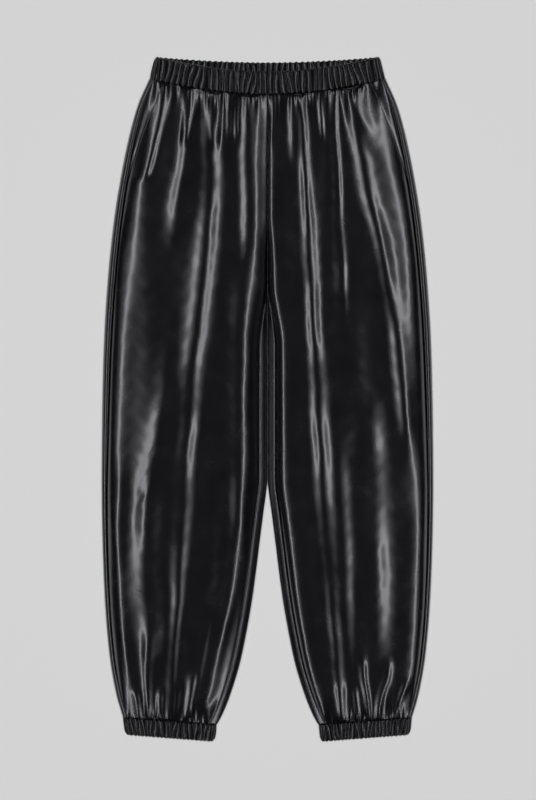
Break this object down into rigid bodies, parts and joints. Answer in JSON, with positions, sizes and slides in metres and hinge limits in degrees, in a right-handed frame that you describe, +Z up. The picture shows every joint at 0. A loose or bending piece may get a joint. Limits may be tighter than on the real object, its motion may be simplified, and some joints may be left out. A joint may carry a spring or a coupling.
{
  "type": "leather trousers",
  "caption": "Pull-on balloon trousers in glossy black leather cloth, laid flat, with a shirred elastic waist, slant pockets and shirred cuffs.",
  "frame": {"origin": "on the surface the trousers lie on, under the middle of the garment", "axes": "+X across the garment towards the wearer's left leg, +Y along it from the cuffs to the waist, +Z up out of the front"},
  "size_m": [0.463, 0.9549, 0.0401],
  "materials": {
    "panel_leather": "glossy",
    "band_leather": "satin"
  },
  "bodies": {
    "root": {"right_front": "panel_leather", "left_front": "panel_leather", "right_back": "panel_leather", "left_back": "panel_leather", "right_pocket_facing": "panel_leather", "left_pocket_facing": "panel_leather", "right_cuff": "band_leather", "left_cuff": "band_leather", "waistband": "band_leather"}
  },
  "joints": []
}
